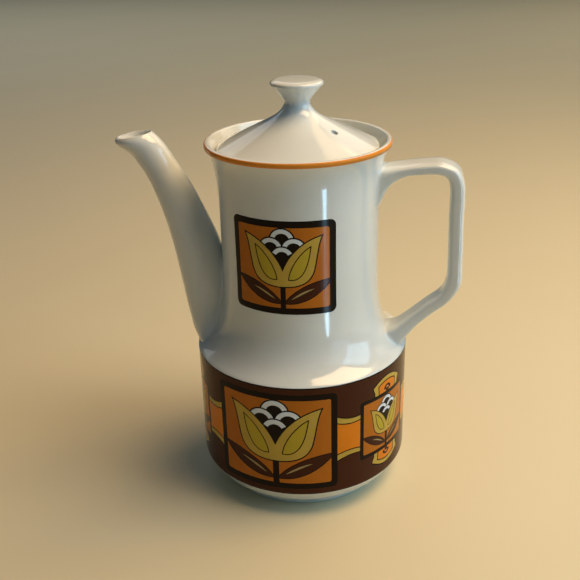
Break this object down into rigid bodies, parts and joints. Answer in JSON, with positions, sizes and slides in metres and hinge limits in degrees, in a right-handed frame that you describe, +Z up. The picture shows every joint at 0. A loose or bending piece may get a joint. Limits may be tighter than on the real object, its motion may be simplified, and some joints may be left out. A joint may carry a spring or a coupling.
{
  "type": "coffee pot",
  "caption": "Tall porcelain coffee pot with a long spout, strap handle, lift-off domed lid with knob, and printed geometric flower panels on neck and base.",
  "frame": {"origin": "on the surface that the pot stands on, under the middle of the overall length from spout tip to handle; the axis of the turned body is 6.4 mm from it along +X", "axes": "+Z is up, the spout points along -X, the handle along +X, and +Y is across the pot, away from the front panel"},
  "size_m": [0.1905, 0.1208, 0.2319],
  "materials": {
    "glazed_porcelain": "glossy off-white feldspathic glaze over fired porcelain, very slightly uneven, with a few fine specks",
    "brown_transfer": "dark brown screen-printed enamel transfer fired onto the glaze, glossy, with orange, olive, black and white motifs",
    "orange_transfer": "burnt orange screen-printed enamel panel framed in black, glossy, with an olive tulip motif",
    "orange_line": "hand-banded orange enamel line, glossy, slightly uneven in density"
  },
  "bodies": {
    "pot": {"pot_body": "glazed_porcelain", "spout": "glazed_porcelain", "handle": "glazed_porcelain", "base_band_transfer": "brown_transfer", "neck_transfer_front": "orange_transfer", "neck_transfer_back": "orange_transfer", "rim_line": "orange_line"},
    "lid": {"lid": "glazed_porcelain"}
  },
  "joints": [
    {"name": "lid_lift", "type": "slide", "parent": "pot", "child": "lid", "axis": [0, 0, 1], "range_m": [0, 0.06]}
  ]
}
